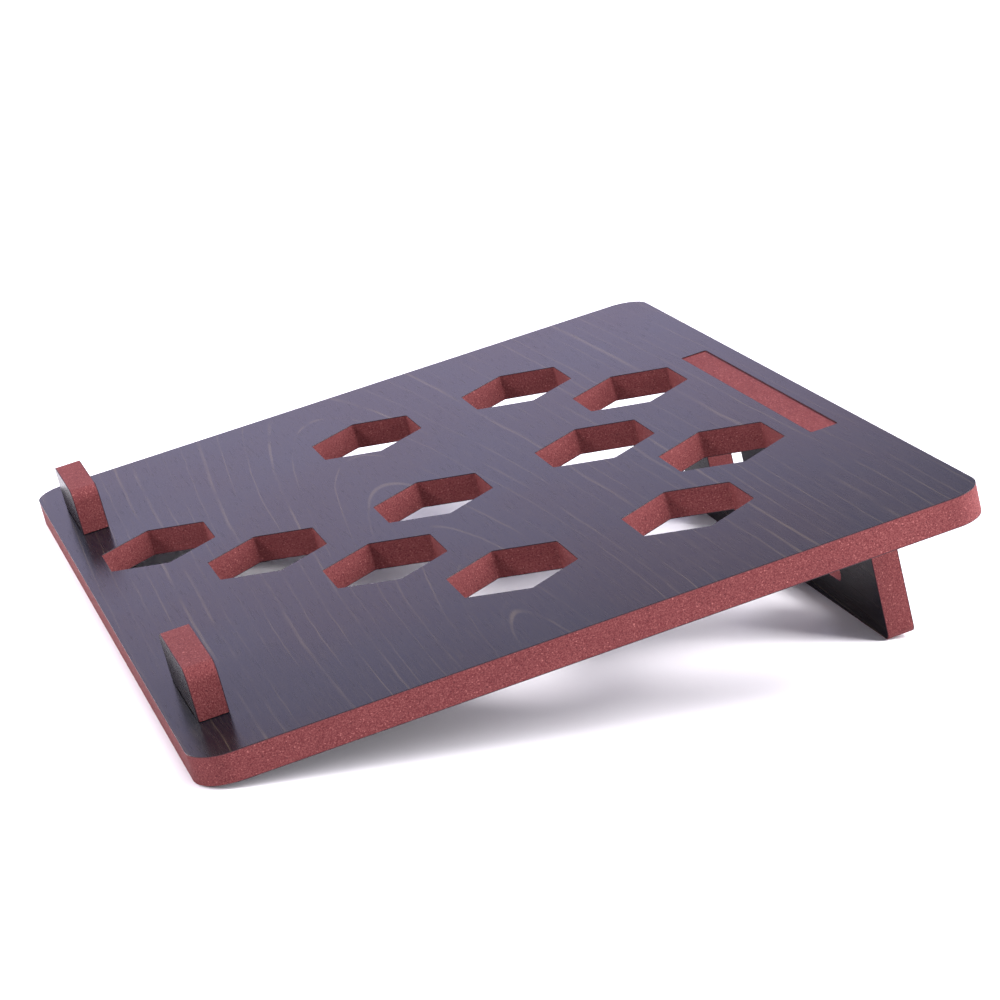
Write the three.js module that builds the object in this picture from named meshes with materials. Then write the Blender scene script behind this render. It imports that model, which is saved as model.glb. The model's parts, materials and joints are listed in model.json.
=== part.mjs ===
// A laptop stand that slots together from four plates of veneered fibreboard:
// a ventilated board that slopes down towards the user, a rear leg that plugs
// into it from below, and two stops that plug into it from above.
//
// Millimetres. +X is to the user's right, +Y away from the user, +Z up.
// The origin is on the table, under the middle of the stand.

import * as THREE from 'three';

// Stock: a red fibreboard core with a dark wood veneer glued on each face.
const coreThickness = 10;
const veneerThickness = 0.3;
const glueLine = 0.05;
const facing = veneerThickness + glueLine;
const stockThickness = coreThickness + 2 * facing;

// Board.
const boardWidth = 355;
const boardDepth = 280;
const boardCornerRadius = 13;
const frontRelief = 2; // the underside veneer starts here, so the core bears on the table

// Vents: regular hexagons on a grid of columns (front to rear) and rows (left to right).
const ventSide = 24.2;
const ventCornerRadius = 1.2;
const ventFirstColumn = 31.7; // from the front edge
const ventColumnPitch = 33.3;
const ventRowPitch = 51.5;
const ventRows = [ // one string for each row from left to right, its letters from front to rear
  '...x.x.',
  'x.....x',
  '.x.x.x.',
  '..x...x',
  '...x.x.',
];

// Mortise and tenon joints: the tenons end a little inside the far face.
const mortiseWidth = stockThickness + 0.3;
const mortiseCornerRadius = 1;
const tenonEndClearance = 0.6;
const tenonSetback = 0.4;
const shoulderGap = 0.3;

// Rear leg.
const legWidth = 205;
const legDrop = 63.9; // from the board's underside to the leg's foot
const legTenonLength = 137; // along the board's width
const legMortiseCentre = 266.2; // from the board's front edge
const legCornerRadius = 3.5;
const windowOuter = 66; // from the leg's middle to a window's outer side
const windowInner = 19.5;
const windowSill = 12.7; // height of the bottom bar and of the rail over the windows
const windowCornerRadius = 4;
const footRelief = 0.5; // the front veneer ends this far up, so the core bears on the table

// Stops.
const stopLength = 48;
const stopHeight = 18.3; // above the board
const stopInset = 32.7; // from the board's side to the stop
const stopMortiseCentre = 14.25; // from the board's front edge
const stopCornerRadius = 5;
const stopTenonLength = 30;

const chordError = 0.05; // how far a rounded corner's straight steps may stand off its arc

// ---------- finishes ----------

const red = { color: 0x8e4448, roughness: 0.85, metalness: 0 };
const dark = { color: 0x2a2730, roughness: 0.35, metalness: 0 };

// ---------- outlines ----------

// A closed outline through corner points [x, y, radius], each corner rounded by its radius.
function roundedOutline(corners, OutlineType = THREE.Shape) {
  const outline = new OutlineType();
  corners.forEach(([x, y, radius = 0], index) => {
    const corner = new THREE.Vector2(x, y);
    const previous = corners[(index + corners.length - 1) % corners.length];
    const next = corners[(index + 1) % corners.length];
    const toPrevious = new THREE.Vector2(previous[0], previous[1]).sub(corner).normalize();
    const toNext = new THREE.Vector2(next[0], next[1]).sub(corner).normalize();
    const halfAngle = Math.acos(THREE.MathUtils.clamp(toPrevious.dot(toNext), -1, 1)) / 2;
    const reach = radius / Math.tan(halfAngle);
    const start = corner.clone().addScaledVector(toPrevious, reach);
    if (index === 0) outline.moveTo(start.x, start.y);
    else outline.lineTo(start.x, start.y);
    if (radius > 0) addCornerArc(outline, corner, toPrevious, toNext, radius, halfAngle);
  });
  outline.closePath();
  return outline;
}

// The arc that rounds one corner, from the side before it to the side after it, in short
// straight steps that stay within chordError of the true arc.
function addCornerArc(outline, corner, toPrevious, toNext, radius, halfAngle) {
  const inward = toPrevious.clone().add(toNext).normalize();
  const centre = corner.clone().addScaledVector(inward, radius / Math.sin(halfAngle));
  const reach = radius / Math.tan(halfAngle);
  const spoke = corner.clone().addScaledVector(toPrevious, reach).sub(centre);
  const turn = (Math.PI - 2 * halfAngle) * Math.sign(toNext.cross(toPrevious));
  const largestStep = 2 * Math.acos(1 - chordError / radius);
  const steps = Math.ceil(Math.abs(turn) / largestStep);
  for (let step = 1; step <= steps; step += 1) {
    spoke.rotateAround(new THREE.Vector2(), turn / steps);
    outline.lineTo(centre.x + spoke.x, centre.y + spoke.y);
  }
}

// The corners of a rectangle, anticlockwise, all with the same radius.
function rectangleCorners(xLow, yLow, xHigh, yHigh, radius) {
  return [
    [xLow, yLow, radius],
    [xHigh, yLow, radius],
    [xHigh, yHigh, radius],
    [xLow, yHigh, radius],
  ];
}

// ---------- plates ----------

// One layer of a plate: its outline, extruded from the given depth below the plate's front face.
// The plate's front face is the plane z = 0, and the plate lies behind it, towards -z.
function makeLayer(name, outline, depth, thickness, finish) {
  const geometry = new THREE.ExtrudeGeometry(outline, {
    depth: thickness,
    bevelEnabled: false,
  });
  const layer = new THREE.Mesh(geometry, new THREE.MeshStandardMaterial(finish));
  layer.name = name;
  layer.position.z = -depth - thickness;
  return layer;
}

// A veneered plate: front veneer, core and rear veneer, with a name and an outline for each.
function makePlate(names, outlines) {
  const plate = new THREE.Group();
  const rearDepth = stockThickness - veneerThickness;
  plate.add(makeLayer(names.front, outlines.front, 0, veneerThickness, dark));
  plate.add(makeLayer(names.core, outlines.core, facing, coreThickness, red));
  plate.add(makeLayer(names.rear, outlines.rear, rearDepth, veneerThickness, dark));
  return plate;
}

// ---------- board ----------

// Vent centres on the board, as [x, distance from the front edge].
function ventCentres() {
  const centres = [];
  const middleRow = (ventRows.length - 1) / 2;
  ventRows.forEach((row, rowIndex) => {
    [...row].forEach((cell, column) => {
      if (cell !== 'x') return;
      const x = (rowIndex - middleRow) * ventRowPitch;
      centres.push([x, ventFirstColumn + column * ventColumnPitch]);
    });
  });
  return centres;
}

// A hexagon with two corners on the line across the board.
function ventOutline([x, y]) {
  const corners = [];
  for (let corner = 0; corner < 6; corner += 1) {
    const angle = (corner * Math.PI) / 3;
    const cornerX = x + ventSide * Math.cos(angle);
    const cornerY = y + ventSide * Math.sin(angle);
    corners.push([cornerX, cornerY, ventCornerRadius]);
  }
  return roundedOutline(corners, THREE.Path);
}

// The slot for a tenon of the given length.
function mortiseOutline(x, y, tenonLength) {
  const halfLength = tenonLength / 2 + tenonEndClearance;
  const halfWidth = mortiseWidth / 2;
  const corners = rectangleCorners(
    x - halfLength, y - halfWidth, x + halfLength, y + halfWidth, mortiseCornerRadius);
  return roundedOutline(corners, THREE.Path);
}

const stopCentre = boardWidth / 2 - stopInset - stopLength / 2;

function boardHoles() {
  return [
    ...ventCentres().map(ventOutline),
    mortiseOutline(0, legMortiseCentre, legTenonLength),
    mortiseOutline(-stopCentre, stopMortiseCentre, stopTenonLength),
    mortiseOutline(stopCentre, stopMortiseCentre, stopTenonLength),
  ];
}

// The board's outline, or the underside veneer's, which starts a little behind the front edge.
// It is seen from above: x across the board and y up its slope.
function boardOutline(front) {
  const half = boardWidth / 2;
  const corners = rectangleCorners(-half, front, half, boardDepth, boardCornerRadius);
  const outline = roundedOutline(corners);
  outline.holes = boardHoles();
  return outline;
}

function makeBoard() {
  const names = {
    front: 'board_top_veneer',
    core: 'board_core',
    rear: 'board_underside_veneer',
  };
  const full = boardOutline(0);
  return makePlate(names, { front: full, core: full, rear: boardOutline(frontRelief) });
}

// ---------- upright plates ----------

// Turns a plate drawn with x across the board and y along the board's normal, so that
// its front face looks to the user, and puts it in its mortise.
function standInMortise(plate, x, mortiseCentre) {
  plate.rotation.x = Math.PI / 2;
  plate.position.set(x, mortiseCentre - stockThickness / 2, 0);
  return plate;
}

const legFoot = -stockThickness - legDrop;

// The leg seen from the front, with its foot trimmed by the given relief: tenon up,
// shoulders under the board, foot down.
function legOutline(relief) {
  const half = legWidth / 2;
  const foot = legFoot + relief;
  const tenonHalf = legTenonLength / 2;
  const shoulder = -stockThickness - shoulderGap;
  const outline = roundedOutline([
    [-half, foot, legCornerRadius],
    [half, foot, legCornerRadius],
    [half, shoulder],
    [tenonHalf, shoulder],
    [tenonHalf, -tenonSetback],
    [-tenonHalf, -tenonSetback],
    [-tenonHalf, shoulder],
    [-half, shoulder],
  ]);
  outline.holes = [
    windowOutline(-windowOuter, -windowInner),
    windowOutline(windowInner, windowOuter),
  ];
  return outline;
}

function windowOutline(xLow, xHigh) {
  const low = legFoot + windowSill;
  const high = -stockThickness - windowSill;
  return roundedOutline(rectangleCorners(xLow, low, xHigh, high, windowCornerRadius), THREE.Path);
}

function makeLeg() {
  const names = { front: 'leg_front_veneer', core: 'leg_core', rear: 'leg_rear_veneer' };
  const full = legOutline(0);
  const outlines = { front: legOutline(footRelief), core: full, rear: full };
  return standInMortise(makePlate(names, outlines), 0, legMortiseCentre);
}

// A stop seen from the front: rounded top, shoulders on the board, tenon down.
function stopOutline() {
  const half = stopLength / 2;
  const tenonHalf = stopTenonLength / 2;
  const tenonEnd = tenonSetback - stockThickness;
  return roundedOutline([
    [-tenonHalf, tenonEnd],
    [tenonHalf, tenonEnd],
    [tenonHalf, shoulderGap],
    [half, shoulderGap],
    [half, stopHeight, stopCornerRadius],
    [-half, stopHeight, stopCornerRadius],
    [-half, shoulderGap],
    [-tenonHalf, shoulderGap],
  ]);
}

function makeStop(side, x) {
  const names = {
    front: `${side}_stop_front_veneer`,
    core: `${side}_stop_core`,
    rear: `${side}_stop_rear_veneer`,
  };
  const full = stopOutline();
  const outlines = { front: full, core: full, rear: full };
  return standInMortise(makePlate(names, outlines), x, stopMortiseCentre);
}

// ---------- assembly ----------

// The stand rests on the lower front edge of the board's core and on the lower front edge
// of the leg's core. The slope is the one that puts both of them on the table.
const frontEdgeDepth = stockThickness - facing;
const legFront = legMortiseCentre - stockThickness / 2;
const slope = Math.atan2(-legFoot - frontEdgeDepth, legFront + facing);

const stand = new THREE.Group();
stand.add(makeBoard(), makeLeg(), makeStop('left', -stopCentre), makeStop('right', stopCentre));
stand.rotation.x = slope;

// Put the resting edges at table height and the middle of the stand, from the board's
// upper front edge to the rearmost corner of the leg's foot, over the origin.
const legRear = legFront + stockThickness;
stand.position.z = frontEdgeDepth * Math.cos(slope);
stand.position.y = (legFoot * Math.sin(slope) - legRear * Math.cos(slope)) / 2;

export default stand;
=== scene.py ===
import json
import math
import bpy
import numpy as np
from mathutils import Matrix, Vector
from mathutils.geometry import delaunay_2d_cdt


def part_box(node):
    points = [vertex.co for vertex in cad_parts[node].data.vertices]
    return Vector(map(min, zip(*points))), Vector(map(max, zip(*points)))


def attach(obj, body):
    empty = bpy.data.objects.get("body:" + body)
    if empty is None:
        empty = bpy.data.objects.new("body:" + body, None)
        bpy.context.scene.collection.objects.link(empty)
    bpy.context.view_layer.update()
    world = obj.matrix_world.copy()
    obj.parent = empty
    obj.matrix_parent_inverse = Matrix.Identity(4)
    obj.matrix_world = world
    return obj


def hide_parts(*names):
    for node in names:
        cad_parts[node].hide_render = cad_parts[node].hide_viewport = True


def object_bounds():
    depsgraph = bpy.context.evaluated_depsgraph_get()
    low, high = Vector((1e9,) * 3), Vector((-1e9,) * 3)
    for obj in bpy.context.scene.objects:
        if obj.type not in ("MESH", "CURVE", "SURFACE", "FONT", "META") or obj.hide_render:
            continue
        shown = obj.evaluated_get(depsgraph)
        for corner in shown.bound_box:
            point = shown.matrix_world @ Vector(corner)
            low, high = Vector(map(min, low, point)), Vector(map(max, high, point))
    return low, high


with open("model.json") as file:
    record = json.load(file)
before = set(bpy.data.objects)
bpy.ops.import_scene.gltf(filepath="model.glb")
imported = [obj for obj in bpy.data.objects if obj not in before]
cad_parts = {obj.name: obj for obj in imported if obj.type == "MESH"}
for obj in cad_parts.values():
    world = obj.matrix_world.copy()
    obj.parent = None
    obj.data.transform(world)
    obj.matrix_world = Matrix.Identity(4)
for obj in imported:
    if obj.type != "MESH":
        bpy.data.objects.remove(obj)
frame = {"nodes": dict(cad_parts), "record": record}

cadLow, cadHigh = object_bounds()
mm = 0.001


# The board leans back. A laptop's resting place gives a point on its top face and the normal
# there. Pieces are laid out along three directions: across the stand, up the slope and along
# the normal, counted from the middle of the board's upper front edge.
rest = next(m for m in frame["record"]["mounts"] if m["name"] == "laptop_rest")
across = np.array([1.0, 0.0, 0.0])
normal = np.array(rest["axis"], float)
upSlope = np.cross(normal, across)
slope = math.atan2(upSlope[2], upSlope[1])
restPoint = np.array(rest["pos_m"], float)
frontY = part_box("board_top_veneer")[0].y
origin = restPoint + upSlope * (frontY - restPoint[1]) / upSlope[1]
origin[0] = (cadLow.x + cadHigh.x) / 2
lying = -slope                    # how a pattern is turned to lie along the board
standing = -slope - math.pi / 2   # and along the plates that stand in it


def extent(node):
    # lowest and highest place of a node, in mm, across, up the slope and along the normal
    mesh = frame["nodes"][node].data
    corners = np.empty(len(mesh.vertices) * 3, np.float32)
    mesh.vertices.foreach_get("co", corners)
    places = (corners.reshape(-1, 3) - origin) @ np.stack([across, upSlope, normal], axis=1)
    return places.min(axis=0) / mm, places.max(axis=0) / mm


def roundedLoop(corners, stepAngle=math.radians(7.5)):
    # Each corner is x, y and a radius. Its round is the arc that touches both sides: the
    # centre lies on the corner's bisector, radius / sin(half the corner's angle) from it.
    parts = []
    for index, (x, y, radius) in enumerate(corners):
        corner = np.array([x, y])
        back = np.array(corners[index - 1][:2]) - corner
        ahead = np.array(corners[(index + 1) % len(corners)][:2]) - corner
        back = back / np.linalg.norm(back)
        ahead = ahead / np.linalg.norm(ahead)
        if radius == 0:
            parts.append(corner[None])
            continue
        half = math.acos(back @ ahead) / 2
        turn = math.pi - 2 * half
        steps = max(2, math.ceil(abs(turn) / stepAngle))
        bisector = (back + ahead) / np.linalg.norm(back + ahead)
        centre = corner + bisector * radius / math.sin(half)
        spoke = corner + back * radius / math.tan(half) - centre
        if back[0] * ahead[1] - back[1] * ahead[0] > 0:
            turn = -turn
        angles = turn * np.linspace(0, 1, steps + 1)
        parts.append(centre + np.stack([
            spoke[0] * np.cos(angles) - spoke[1] * np.sin(angles),
            spoke[0] * np.sin(angles) + spoke[1] * np.cos(angles),
        ], axis=1))
    return np.concatenate(parts)


def rectangle(left, right, low, high, radius):
    # four corners with the same round, anticlockwise
    return [(left, low, radius), (right, low, radius), (right, high, radius), (left, high, radius)]


def insetPerUnit(loop):
    # The move of each point for an inset of 1: along the bisector of its two sides' inner
    # normals, and longer at a corner, so that both sides move in by the same amount.
    side = np.roll(loop, -1, axis=0) - loop
    side = side / np.linalg.norm(side, axis=1, keepdims=True)
    inward = np.stack([-side[:, 1], side[:, 0]], axis=1)
    before = np.roll(inward, 1, axis=0)
    return (inward + before) / (1 + (inward * before).sum(axis=1, keepdims=True))


def isInside(loop, points):
    # A point is inside if a line from it to the left crosses the loop an odd number of times.
    # A level side is never crossed, and its rise of 0 is made 1 only to be able to divide by it.
    ends = np.roll(loop, -1, axis=0)
    height = points[:, 1:]
    crosses = (loop[:, 1] > height) != (ends[:, 1] > height)
    rise = np.where(ends[:, 1] == loop[:, 1], 1, ends[:, 1] - loop[:, 1])
    crossing = loop[:, 0] + (height - loop[:, 1]) * (ends[:, 0] - loop[:, 0]) / rise
    return (crosses & (crossing < points[:, :1])).sum(axis=1) % 2 == 1


samePoint = 1e-9                  # mm, points closer than this count as one
easedPoints = 4                   # along the round of an eased arris
sharpAngle = math.radians(12)     # a fold sharper than this shows as an edge


def fillBetween(loops):
    # The flat face inside the first loop and outside the others, as anticlockwise triangles
    # that number the points of all the loops in a row.
    points = np.concatenate(loops)
    edges = []
    start = 0
    for loop in loops:
        here = start + np.arange(len(loop))
        edges += np.stack([here, np.roll(here, -1)], axis=1).tolist()
        start += len(loop)
    made = delaunay_2d_cdt([Vector(p) for p in points], edges, [], 0, samePoint)
    source = np.array([first[0] for first in made[3]])
    triangles = source[np.array(made[2])]
    middles = points[triangles].mean(axis=1)
    kept = isInside(loops[0], middles)
    for hole in loops[1:]:
        kept &= ~isInside(hole, middles)
    triangles = triangles[kept]
    first, second, third = (points[triangles[:, k]] for k in range(3))
    one, two = second - first, third - first
    clockwise = one[:, 0] * two[:, 1] < one[:, 1] * two[:, 0]
    triangles[clockwise] = triangles[clockwise][:, ::-1]
    return triangles


def easedEdge(radius):
    # Inset and drop along a quarter circle from a flat face to the wall below it.
    if radius == 0:
        return np.zeros(1), np.zeros(1)
    turn = np.linspace(0, math.pi / 2, easedPoints)
    return radius * (1 - np.sin(turn)), radius * (1 - np.cos(turn))


def makeLayer(name, loops, front, back, easing, directions, finish):
    # One layer of a plate, closed. Its wall is a profile carried round every loop of the
    # outline: an eased arris, straight down from front to back, and an eased arris. The
    # profile is rows of inset and depth, and a row is the outline moved in by its inset.
    # The first and last rows are filled with flat faces. Outer loops run anticlockwise and
    # holes clockwise, so that an inset always goes into the material.
    frontInset, frontDrop = easedEdge(easing[0])
    backInset, backDrop = easedEdge(easing[1])
    insets = np.concatenate([frontInset, backInset[::-1]])
    depths = np.concatenate([front - frontDrop, back + backDrop[::-1]])
    moves = [insetPerUnit(loop) for loop in loops]
    rows = [[loop + move * inset for loop, move in zip(loops, moves)] for inset in insets]
    rowLength = sum(len(loop) for loop in loops)
    flat = np.concatenate([loop for row in rows for loop in row])
    places = np.column_stack([flat, np.repeat(depths, rowLength)]) * mm
    faces = []
    start = 0
    for loop in loops:
        here = start + np.arange(len(loop))
        beside = np.roll(here, -1)
        for upper in range(0, (len(insets) - 1) * rowLength, rowLength):
            lower = upper + rowLength
            wall = [here + upper, here + lower, beside + lower, beside + upper]
            faces += np.stack(wall, axis=1).tolist()
        start += len(loop)
    lastRow = (len(insets) - 1) * rowLength
    faces += fillBetween(rows[0]).tolist()
    faces += (fillBetween(rows[-1])[:, ::-1] + lastRow).tolist()
    mesh = bpy.data.meshes.new(name)
    mesh.from_pydata((origin + places @ np.stack(directions)).tolist(), [], faces)
    mesh.materials.append(finish)
    mesh.shade_smooth()
    mesh.set_sharp_from_angle(angle=sharpAngle)
    piece = bpy.data.objects.new(name, mesh)
    bpy.context.scene.collection.objects.link(piece)
    return piece


class Wire:
    # A socket that can stand in a sum, so that shader maths is written as an expression.
    def __init__(self, finish, socket):
        self.finish = finish
        self.socket = socket

    def maths(self, operation, first, second):
        return self.finish.add("Math", {"operation": operation}, {0: first, 1: second})

    def __add__(self, other):
        return self.maths("ADD", self, other)

    def __radd__(self, other):
        return self.maths("ADD", other, self)

    def __sub__(self, other):
        return self.maths("SUBTRACT", self, other)

    def __rsub__(self, other):
        return self.maths("SUBTRACT", other, self)

    def __mul__(self, other):
        return self.maths("MULTIPLY", self, other)

    def __rmul__(self, other):
        return self.maths("MULTIPLY", other, self)

    def __pow__(self, other):
        return self.maths("POWER", self, other)

    def __rpow__(self, other):
        return self.maths("POWER", other, self)


class Finish:
    # One material. Its place is the Object coordinates, turned so that x is across the stand,
    # y up the plate and z out of the plate's front face, in metres.
    def __init__(self, name, turn, shift=(0, 0, 0)):
        self.material = bpy.data.materials.new(name)
        self.material.use_nodes = True
        self.tree = self.material.node_tree
        self.tree.nodes.clear()
        coordinates = self.add("TexCoord", {}, {}, "Object")
        turned = {"Vector": coordinates, "Rotation": (turn, 0, 0), "Location": shift}
        self.place = self.add("Mapping", {}, turned)

    def add(self, kind, settings, inputs, output=None):
        # a node of this kind: its settings first, then its sockets' values or links
        node = self.tree.nodes.new("ShaderNode" + kind)
        for setting, value in settings.items():
            setattr(node, setting, value)
        for key, value in inputs.items():
            socket = node.inputs[key] if isinstance(key, int) else shown(node.inputs, key)
            if isinstance(value, Wire):
                self.tree.links.new(value.socket, socket)
            else:
                socket.default_value = value
        return Wire(self, shown(node.outputs, output))

    def stretched(self, scale):
        # the place with each direction scaled by itself, for streaks and flat flecks
        return self.add("Mapping", {}, {"Vector": self.place, "Scale": scale})

    def noise(self, scale, detail=2.0, roughness=0.5):
        # soft noise around a half, its scale given in cycles per metre for x, y and z
        inputs = {"Vector": self.stretched(scale), "Scale": 1.0, "Detail": detail}
        inputs["Roughness"] = roughness
        return self.add("TexNoise", {}, inputs)

    def step(self, value, low, high, start=0.0, end=1.0):
        # a soft step from start at low to end at high
        inputs = {"Value": value, "From Min": low, "From Max": high, "To Min": start, "To Max": end}
        return self.add("MapRange", {"interpolation_type": "SMOOTHSTEP"}, inputs)

    def blend(self, factor, one, other):
        # a colour between two
        return self.add("Mix", {"data_type": "RGBA"}, {"Factor": factor, "A": one, "B": other})

    def surface(self, relief, height, constants, colour, roughness):
        # the shader itself: relief is a height between 0 and 1, worth height metres
        bumped = self.add("Bump", {}, {"Height": relief, "Distance": height, "Strength": 1.0})
        inputs = {"Base Color": colour, "Roughness": roughness, "Normal": bumped, **constants}
        shader = self.add("BsdfPrincipled", {}, inputs)
        self.add("OutputMaterial", {"target": "ALL"}, {"Surface": shader})
        return self.material


def shown(sockets, name=None):
    # the first socket in use, or the one in use with that name, or none
    return next((s for s in sockets if s.enabled and name in (None, s.name)), None)


# A leaf is one thin sheet of veneer. A noise here is its scale in cycles per metre across, up
# and out of the plate, then its detail and roughness. A range is where a mark starts and is full.
leaf = {
    "blueBlack": (0.0032, 0.0040, 0.0080, 1),
    "brownBlack": (0.0066, 0.0042, 0.0068, 1),
    "tan": (0.150, 0.118, 0.070, 1),
    "cutEdge": (0.060, 0.022, 0.026, 1),
    "cutDepths": (0.00018, 0.00006),     # m below a face, from all cut edge to all face
    "pithPlace": 0.127,                  # m up the plate, where the tree's middle is nearest
    "pithDepth": 0.0275,                 # m from there to the tree's middle
    "pithTilt": -0.11,                   # how that depth changes along the leaf
    "ringSpacing": 0.0060,               # m between lines, before it is made uneven
    "unevenScale": 0.9,                  # changes for each ring
    "uneven": 1.7,                       # rings
    "waverNoise": ((7, 24, 24), 2.0),
    "waver": 0.006,                      # m
    "trembleNoise": ((45, 90, 90), 2.0),
    "tremble": 0.0012,                   # m
    "lineRange": (0.00034, 0.0001),      # m from a line's middle
    "lineStrength": 0.21,
    "breakNoise": ((13, 120, 120), 3.0),
    "breakRange": (0.36, 0.66),
    "patchNoise": ((10, 18, 18), 3.0),
    "patchRange": (0.35, 0.65),
    "fibreNoise": ((70, 1800, 1800), 3.0, 0.65),
    "fibreRange": (0.35, 0.80),
    "fibreStrength": 0.08,
    "poreNoise": ((110, 1900, 1900), 1.0),
    "poreRange": (0.60, 0.74),
    "relief": 0.000007,                  # m, and how much of it each mark gives or takes
    "fibreHeight": 0.6,
    "poreDepth": 0.5,
    "lineDepth": 0.3,
    "roughness": 0.16,                   # and what each mark adds to it
    "patchRoughness": 0.06,
    "fibreRoughness": 0.10,
    "poreRoughness": 0.05,
}


def plateMiddle(nodes, turn):
    # how far out the middle of a plate's thickness is, and half that thickness, in metres
    if turn == lying:
        low, _ = extent(nodes[2])
        _, high = extent(nodes[0])
        return origin @ normal + (low[2] + high[2]) / 2 * mm, (high[2] - low[2]) / 2 * mm
    low, _ = extent(nodes[0])
    _, high = extent(nodes[2])
    return -(origin @ upSlope) - (low[1] + high[1]) / 2 * mm, (high[1] - low[1]) / 2 * mm


def darkVeneer(name, nodes, turn, plate):
    # Growth rings are circles round the tree's middle. The leaf cuts them at a small tilt, so
    # their distance is the root of the squares of the place up the plate and of a depth that
    # changes along the leaf, and equal distances draw long nested arcs that run out straight.
    # A line is drawn where the distance, counted in rings, is near a whole number.
    finish = Finish(name, turn, plate["leafShift"])
    split = finish.add("SeparateXYZ", {}, {"Vector": finish.place}).socket.node
    along, up, out = (Wire(finish, split.outputs[axis]) for axis in ("X", "Y", "Z"))
    waver = (finish.noise(*leaf["waverNoise"]) - 0.5) * leaf["waver"]
    tremble = (finish.noise(*leaf["trembleNoise"]) - 0.5) * leaf["tremble"]
    beside = up - leaf["pithPlace"] + waver + tremble
    depth = along * leaf["pithTilt"] + leaf["pithDepth"]
    distance = (beside * beside + depth * depth) ** 0.5 * (1 / leaf["ringSpacing"])
    ringPlace = finish.add("CombineXYZ", {}, {"X": distance})
    unevenInputs = {"Vector": ringPlace, "Scale": leaf["unevenScale"], "Detail": 2.0}
    ring = distance + finish.add("TexNoise", {}, unevenInputs) * leaf["uneven"]
    away = finish.add("Math", {"operation": "PINGPONG"}, {0: ring, 1: 0.5}) * leaf["ringSpacing"]
    broken = finish.step(finish.noise(*leaf["breakNoise"]), *leaf["breakRange"])
    line = finish.step(away, *leaf["lineRange"]) * broken
    fibre = finish.noise(*leaf["fibreNoise"])
    fibreTint = finish.step(fibre, *leaf["fibreRange"], 0.0, leaf["fibreStrength"])
    pores = finish.step(finish.noise(*leaf["poreNoise"]), *leaf["poreRange"])
    patch = finish.noise(*leaf["patchNoise"])
    patchTint = finish.step(patch, *leaf["patchRange"])
    colour = finish.blend(patchTint, leaf["blueBlack"], leaf["brownBlack"])
    colour = finish.blend(fibreTint, colour, leaf["tan"])
    colour = finish.blend(line * leaf["lineStrength"], colour, leaf["tan"])
    middle, half = plateMiddle(nodes, turn)
    fromMiddle = finish.add("Math", {"operation": "ABSOLUTE"}, {0: out - middle})
    face = finish.step(fromMiddle, *(half - cut for cut in leaf["cutDepths"]))
    colour = finish.blend(face, leaf["cutEdge"], colour)
    relief = fibre * leaf["fibreHeight"] - pores * leaf["poreDepth"] - line * leaf["lineDepth"]
    roughness = leaf["roughness"] + patch * leaf["patchRoughness"]
    roughness = roughness + fibre * leaf["fibreRoughness"] + pores * leaf["poreRoughness"]
    constants = {"Specular IOR Level": plate["specular"]}
    return finish.surface(relief, leaf["relief"], constants, colour, roughness)


fibreboard = {
    "body": (0.083, 0.0125, 0.0150, 1),
    "pale": (0.42, 0.155, 0.140, 1),
    "dark": (0.050, 0.008, 0.011, 1),
    "clumpNoise": ((1500, 1500, 2000), 3.0, 0.6),
    "gritNoise": ((3000, 3000, 3600), 2.0, 0.6),
    "grainRange": (0.34, 0.70),
    "grainStrength": 0.31,
    "fleckNoise": ((1500, 1500, 2000), 1.0),
    "fleckRange": (0.68, 0.77),
    "fleckStrength": 0.6,
    "dotNoise": ((1100, 1100, 1500), 1.0, 0.4),
    "dotRange": (0.36, 0.26),
    "dotStrength": 0.6,
    "cloudNoise": ((40, 40, 90), 2.0),
    "cloudRange": (0.3, 0.7),
    "cloudStrength": 0.14,
    "relief": 0.00014,                   # m
    "dotDepth": 0.4,                     # of the relief
    "specular": 0.12,
    "roughness": 0.62,
    "gritRoughness": 0.2,
}


def redFibreboard(name, turn):
    # Wood fibres dyed red and pressed flat: clumps and flecks are wider than they are high.
    finish = Finish(name, turn)
    grit = finish.noise(*fibreboard["gritNoise"])
    grain = finish.noise(*fibreboard["clumpNoise"]) * 0.5 + grit * 0.5
    shade = finish.step(grain, *fibreboard["grainRange"], 0.0, fibreboard["grainStrength"])
    flecks = finish.step(finish.noise(*fibreboard["fleckNoise"]), *fibreboard["fleckRange"])
    dots = finish.step(finish.noise(*fibreboard["dotNoise"]), *fibreboard["dotRange"])
    cloud = finish.noise(*fibreboard["cloudNoise"])
    cloud = finish.step(cloud, *fibreboard["cloudRange"], 0.0, fibreboard["cloudStrength"])
    colour = finish.blend(shade, fibreboard["body"], fibreboard["pale"])
    colour = finish.blend(flecks * fibreboard["fleckStrength"], colour, fibreboard["pale"])
    colour = finish.blend(dots * fibreboard["dotStrength"], colour, fibreboard["dark"])
    colour = finish.blend(cloud, colour, fibreboard["dark"])
    relief = grain - dots * fibreboard["dotDepth"]
    roughness = fibreboard["roughness"] + grit * fibreboard["gritRoughness"]
    constants = {"Specular IOR Level": fibreboard["specular"]}
    return finish.surface(relief, fibreboard["relief"], constants, colour, roughness)


boardNodes = ["board_top_veneer", "board_core", "board_underside_veneer"]
legNodes = ["leg_front_veneer", "leg_core", "leg_rear_veneer"]
stopNodes = {
    side: [f"{side}_stop_{layer}" for layer in ("front_veneer", "core", "rear_veneer")]
    for side in ("left", "right")
}

glueLine = 0.01      # mm between a core and its veneers
veneerEasing = 0.12  # mm, on a veneer's outer arris


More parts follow.
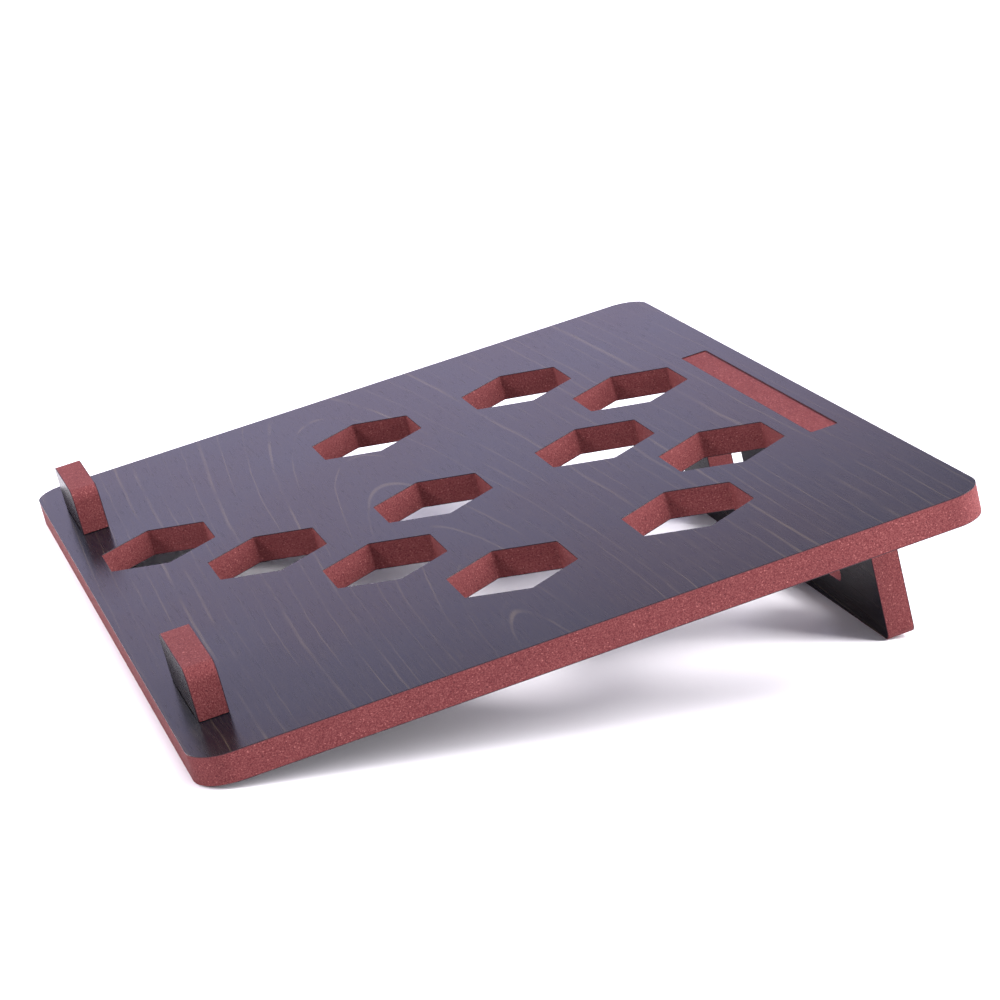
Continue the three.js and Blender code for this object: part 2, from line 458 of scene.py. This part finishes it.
def makePlate(body, nodes, outlines, facing, finishes):
    # A core between two veneers. Nodes and outlines are those of the front veneer, the core
    # and the rear veneer. Facing is "up" for the board and "forward" for the uprights.
    if facing == "up":
        directions = (across, upSlope, normal)
        spans = [(high[2], low[2]) for low, high in map(extent, nodes)]
    else:
        directions = (across, normal, -upSlope)
        spans = [(-low[1], -high[1]) for low, high in map(extent, nodes)]
    (front, _), (coreFront, coreBack), (_, back) = spans
    depths = [(front, coreFront + glueLine), (coreFront, coreBack), (coreBack - glueLine, back)]
    easings = [(veneerEasing, 0), (0, 0), (0, veneerEasing)]
    slots = ["dark_veneer", "red_fibreboard", "dark_veneer"]
    dark, red = finishes
    layers = zip(nodes, outlines, depths, easings, slots, (dark, red, dark))
    for node, loops, depth, easing, slot, finish in layers:
        words = node.split("_")
        name = words[0] + "".join(word.capitalize() for word in words[1:])
        piece = makeLayer(name, loops, *depth, easing, directions, finish)
        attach(piece, body)
        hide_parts(node)
    print(body, "made")


# The plates' own sizes are in mm. What isn't here comes from the nodes.
vents = {
    "side": 24.2,
    "cornerRadius": 1.2,
    "firstColumn": 31.7,   # from the front edge
    "columnPitch": 33.3,
    "rowPitch": 51.5,
    "rows": ["...x.x.", "x.....x", ".x.x.x.", "..x...x", "...x.x."],  # left to right, front first
}
mortise = {"width": 11.0, "cornerRadius": 1, "endClearance": 0.6}
board = {
    "cornerRadius": 13,
    "leafShift": (0, -origin[1], 0),   # m, where in the leaf's pattern the plate lies
    "specular": 0.122,
}
leg = {
    "tenonLength": 137,
    "shoulderGap": 0.3,
    "cornerRadius": 3.5,
    "windowOuter": 66,
    "windowInner": 19.5,
    "windowSill": 12.7,
    "windowCornerRadius": 4,
    "leafShift": (0.06, 0.11, 0),
    "specular": 0.02,
}
stop = {
    "tenonLength": 30,
    "shoulderGap": 0.3,
    "cornerRadius": 5,
    "leafShift": (0.02, 0.15, 0),
    "specular": 0.03,
}

boardVeneer = darkVeneer("boardVeneer", boardNodes, lying, board)
legVeneer = darkVeneer("legVeneer", legNodes, standing, leg)
stopVeneer = darkVeneer("stopVeneer", stopNodes["left"], standing, stop)
boardRed = redFibreboard("boardRed", lying)
uprightRed = redFibreboard("uprightRed", standing)
print("finishes made")


def hole(corners):
    # a rounded loop that runs clockwise
    return roundedLoop(corners)[::-1]


def mortiseFor(core, tenonLength):
    # a slot round the middle of the plate that stands in it, a little longer than its tenon
    low, high = extent(core)
    x, y = (low[:2] + high[:2]) / 2
    halfLength = tenonLength / 2 + mortise["endClearance"]
    halfWidth = mortise["width"] / 2
    sides = (x - halfLength, x + halfLength, y - halfWidth, y + halfWidth)
    return hole(rectangle(*sides, mortise["cornerRadius"]))


def ventLoops():
    # A hexagon's corners lie on a circle as wide as two of its sides, a sixth of a turn apart.
    loops = []
    turns = np.arange(6) * math.pi / 3
    for row, cells in enumerate(vents["rows"]):
        x = (row - (len(vents["rows"]) - 1) / 2) * vents["rowPitch"]
        for column, cell in enumerate(cells):
            if cell == "x":
                y = vents["firstColumn"] + column * vents["columnPitch"]
                xs = x + vents["side"] * np.cos(turns)
                ys = y + vents["side"] * np.sin(turns)
                loops.append(hole([(*corner, vents["cornerRadius"]) for corner in zip(xs, ys)]))
    return loops


# Board. Each layer's outline is as long as its own node, as the underside veneer stops short
# of the front edge to let the core bear on the table.
boardHoles = ventLoops()
boardHoles.append(mortiseFor("leg_core", leg["tenonLength"]))
boardHoles.append(mortiseFor("left_stop_core", stop["tenonLength"]))
boardHoles.append(mortiseFor("right_stop_core", stop["tenonLength"]))
boardOutlines = []
for node in boardNodes:
    low, high = extent(node)
    sides = rectangle(low[0], high[0], low[1], high[1], board["cornerRadius"])
    boardOutlines.append([roundedLoop(sides)] + boardHoles)
underside = extent("board_underside_veneer")[0][2]
makePlate("board", boardNodes, boardOutlines, "up", (boardVeneer, boardRed))


# Leg, seen from the front: foot down, shoulders under the board, tenon up.
def legLoops(node):
    low, high = extent(node)
    left, right, foot, top = low[0], high[0], low[2], high[2]
    half = leg["tenonLength"] / 2
    shoulder = underside - leg["shoulderGap"]
    outer = roundedLoop([
        (left, foot, leg["cornerRadius"]), (right, foot, leg["cornerRadius"]),
        (right, shoulder, 0), (half, shoulder, 0), (half, top, 0),
        (-half, top, 0), (-half, shoulder, 0), (left, shoulder, 0),
    ])
    sill = extent("leg_core")[0][2] + leg["windowSill"]
    head = underside - leg["windowSill"]
    inner, out = leg["windowInner"], leg["windowOuter"]
    windows = [
        hole(rectangle(*sides, sill, head, leg["windowCornerRadius"]))
        for sides in ((-out, -inner), (inner, out))
    ]
    return [outer] + windows


legOutlines = [legLoops(node) for node in legNodes]
makePlate("leg", legNodes, legOutlines, "forward", (legVeneer, uprightRed))


# Stops, seen from the front: rounded top, shoulders on the board, tenon down.
def stopLoops(node):
    low, high = extent(node)
    left, right, end, top = low[0], high[0], low[2], high[2]
    middle = (left + right) / 2
    tenonLeft = middle - stop["tenonLength"] / 2
    tenonRight = middle + stop["tenonLength"] / 2
    shoulder = stop["shoulderGap"]
    return [roundedLoop([
        (tenonLeft, end, 0), (tenonRight, end, 0), (tenonRight, shoulder, 0),
        (right, shoulder, 0), (right, top, stop["cornerRadius"]),
        (left, top, stop["cornerRadius"]), (left, shoulder, 0), (tenonLeft, shoulder, 0),
    ])]


for side, nodes in stopNodes.items():
    outlines = [stopLoops(node) for node in nodes]
    makePlate(f"{side}_stop", nodes, outlines, "forward", (stopVeneer, uprightRed))


# Three far lamps shine from the front, from the rear and from overhead. Of the three soft boxes
# one stands behind on the right, one in front on the left, and the large one far to the left
# shows in the veneer.
studio = {
    "skyColour": (0.96, 0.90, 1.15, 1),
    "skyStrength": 0.50,
    "lampColour": (1, 0.97, 1),
    "lamps": {
        "frontLamp": ("SUN", (0, 0, 2), (-0.05, 1, -0.35), 2.6, {"angle": math.radians(15)}),
        "rearLamp": ("SUN", (0, 0, 2), (-0.28, -1, -0.38), 4.2, {"angle": math.radians(25)}),
        "topLamp": ("SUN", (0, 0, 2), (-0.15, 0, -1), 2.5, {"angle": math.radians(60)}),
        "rearBox": ("AREA", (0.40, 0.55, 0.50), (-0.35, -0.5, -0.45), 7.5, {"size": 0.3}),
        "frontBox": ("AREA", (-0.36, -0.38, 0.28), (0.24, 0.25, -0.25), 1.5, {"size": 0.2}),
        "leftBox": ("AREA", (-1.2, 0.2, 0.44), (1, -0.15, -0.35), 1.08, {
            "shape": "RECTANGLE", "size": 0.9, "size_y": 0.4, "color": (0.93, 0.82, 1.30),
        }),
    },
}

scene = bpy.context.scene
scene.view_settings.view_transform = "Standard"
world = bpy.data.worlds.new("studio")
world.use_nodes = True
sky = world.node_tree.nodes["Background"]
sky.inputs["Color"].default_value = studio["skyColour"]
sky.inputs["Strength"].default_value = studio["skyStrength"]
scene.world = world


def addLamp(name, kind, place, towards, strength, settings):
    # a lamp at a place, which shines along a direction
    lamp = bpy.data.lights.new(name, kind)
    lamp.energy = strength
    lamp.color = studio["lampColour"]
    for setting, value in settings.items():
        setattr(lamp, setting, value)
    holder = bpy.data.objects.new(name, lamp)
    holder.location = place
    holder.rotation_euler = Vector(towards).to_track_quat("-Z", "Y").to_euler()
    scene.collection.objects.link(holder)


for name, lamp in studio["lamps"].items():
    addLamp(name, *lamp)


ground = {
    "size": 40.0,                        # m
    "mottleNoise": ((6, 6, 6), 3.0),
    "pale": (0.88, 0.875, 0.89, 1),
    "paler": (0.92, 0.915, 0.93, 1),
    "relief": 0.0001,                    # m
    "specular": 0.4,
    "roughness": 0.45,
}
half = ground["size"] / 2
corners = [(-half, -half, 0), (half, -half, 0), (half, half, 0), (-half, half, 0)]
floorMesh = bpy.data.meshes.new("floor")
floorMesh.from_pydata(corners, [], [(0, 1, 2, 3)])
floor = bpy.data.objects.new("floor", floorMesh)
scene.collection.objects.link(floor)
floorFinish = Finish("floorFinish", 0)
mottle = floorFinish.noise(*ground["mottleNoise"])
floorColour = floorFinish.blend(mottle, ground["pale"], ground["paler"])
constants = {"Specular IOR Level": ground["specular"]}
floorMesh.materials.append(floorFinish.surface(
    mottle, ground["relief"], constants, floorColour, ground["roughness"]))


# Three quarters from the user's right, a little above the board, with a long lens.
view = {
    "place": (1.03175, -0.29166, 0.32262),
    "forward": (-0.92704, 0.27433, -0.25563),
    "up": (-0.24130, 0.08538, 0.96669),
    "lens": 104.83,        # mm, as is the sensor
    "sensor": 36,
    "farthest": 100,       # m, what is farther isn't drawn
}
lensData = bpy.data.cameras.new("camera")
lensData.lens = view["lens"]
lensData.sensor_width = view["sensor"]
lensData.clip_end = view["farthest"]
camera = bpy.data.objects.new("camera", lensData)
backwards = -Vector(view["forward"]).normalized()
right = Vector(view["up"]).cross(backwards).normalized()
axes = Matrix((right, backwards.cross(right), backwards)).transposed()
camera.matrix_world = Matrix.Translation(view["place"]) @ axes.to_4x4()
scene.collection.objects.link(camera)
scene.camera = camera
print("studio made")
